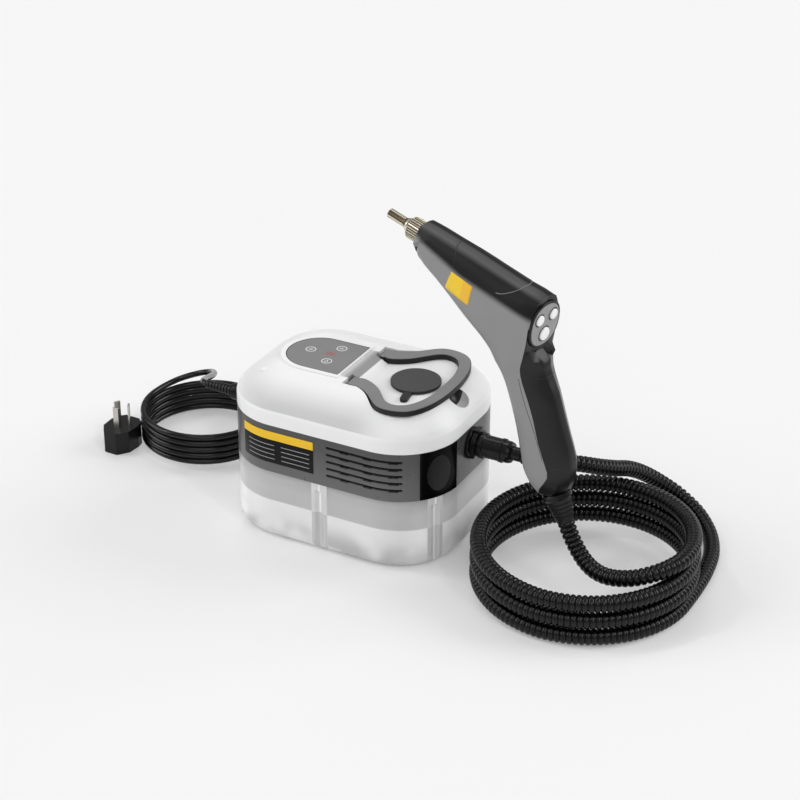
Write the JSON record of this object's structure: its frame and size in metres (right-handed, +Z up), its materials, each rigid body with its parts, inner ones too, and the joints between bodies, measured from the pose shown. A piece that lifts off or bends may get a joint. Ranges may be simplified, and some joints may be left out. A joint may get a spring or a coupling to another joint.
{
  "type": "handheld steam cleaner",
  "caption": "Portable steam cleaner: rounded base with a clear water tank, folding carry handle, filler plug, coiled steam hose and a hand-held gun with push buttons.",
  "frame": {"origin": "centre of the water tank's underside, on the surface the cleaner stands on", "axes": "+X along the base's long side towards the hose, +Y to the back, away from the vent slots and the gun, +Z up"},
  "size_m": [0.7055, 0.2822, 0.3531],
  "materials": {
    "clear_plastic": "clear, glossy",
    "black_rubber": "matt",
    "grey_rubber": "matt",
    "steel": "bright",
    "pan_metal": "satin",
    "dark_plastic": "satin",
    "black_plastic": "satin",
    "lens_plastic": "glossy",
    "white_plastic": "glossy",
    "panel_grey": "satin",
    "board_green": "satin",
    "handle_grey": "satin",
    "boiler_metal": "cast",
    "brass_parts": "satin",
    "pump_black": "satin",
    "tube_white": "satin",
    "hose_black": "glossy",
    "cord_black": "glossy",
    "pin_metal": "nickel plated",
    "gun_grey": "satin",
    "nozzle_metal": "nickel plated, knurled"
  },
  "bodies": {
    "base": {"tank": "clear_plastic", "tank_feet": "black_rubber", "tank_gasket": "grey_rubber", "tank_screws": "steel", "chassis_pan": "pan_metal", "band": "dark_plastic", "vent_baffle": "black_plastic", "corner_trim": "black_plastic", "corner_lens": "lens_plastic", "cover": "white_plastic", "cover_screws": "steel", "panel_overlay": "panel_grey", "control_board": "board_green", "hinge_pins": "steel", "filler_neck": "white_plastic", "boiler": "boiler_metal", "heating_element": "steel", "thermostats": "brass_parts", "safety_valve": "brass_parts", "pump": "pump_black", "pump_mounts": "grey_rubber", "suction_hose": "tube_white", "strainer": "black_plastic", "pressure_tube": "tube_white", "steam_tube": "tube_white", "power_board": "board_green", "hose_socket": "black_plastic", "hose_connector": "black_plastic", "hose_lead": "hose_black", "hose_coil": "hose_black", "gun_lead": "hose_black", "cord_gland": "black_plastic", "cord_boot": "black_rubber", "cord_lead": "cord_black", "cord_coil": "cord_black", "cord_tail": "cord_black", "plug_body": "black_plastic", "plug_pins": "pin_metal", "gun_shell_left": "gun_grey", "gun_shell_right": "gun_grey", "gun_top": "black_plastic", "gun_grip": "black_plastic", "button_plate": "panel_grey", "button_board": "board_green", "gun_tube": "brass_parts", "gun_collar": "black_plastic", "gun_boot": "black_rubber"},
    "handle": {"carry_handle": "handle_grey"},
    "cap": {"filler_cap": "dark_plastic", "cap_seal": "black_rubber"},
    "left_key": {"small_button_left": "white_plastic"},
    "right_key": {"small_button_right": "white_plastic"},
    "main_key": {"main_button": "white_plastic"},
    "latch": {"hose_latch": "black_plastic"},
    "nozzle": {"nozzle_nut": "nozzle_metal", "nozzle_tip": "nozzle_metal"}
  },
  "joints": [
    {"name": "handle_lift", "type": "hinge", "parent": "base", "child": "handle", "pos_m": [0.007, 0, 0.1686], "axis": [0, -1, 0], "range_deg": [0, 90]},
    {"name": "plug_pull", "type": "slide", "parent": "base", "child": "cap", "axis": [0, 0, 1], "range_m": [0, 0.045]},
    {"name": "left_key_press", "type": "slide", "parent": "base", "child": "left_key", "axis": [-0.9669, 0.2161, 0.1357], "range_m": [0, 0.0012], "stiffness_N_per_m": 400, "springref_m": -0.001},
    {"name": "right_key_press", "type": "slide", "parent": "base", "child": "right_key", "axis": [-0.9669, 0.2161, 0.1357], "range_m": [0, 0.0012], "stiffness_N_per_m": 400, "springref_m": -0.001},
    {"name": "main_key_press", "type": "slide", "parent": "base", "child": "main_key", "axis": [-0.9669, 0.2161, 0.1357], "range_m": [0, 0.0012], "stiffness_N_per_m": 400, "springref_m": -0.001},
    {"name": "latch_lift", "type": "slide", "parent": "base", "child": "latch", "axis": [0, 0, 1], "range_m": [0, 0.003], "stiffness_N_per_m": 200, "springref_m": -0.003},
    {"name": "nozzle_turn", "type": "hinge", "parent": "base", "child": "nozzle", "pos_m": [0.04041, -0.00017, 0.34591], "axis": [-0.9497, 0.2123, 0.2301], "continuous": true}
  ]
}
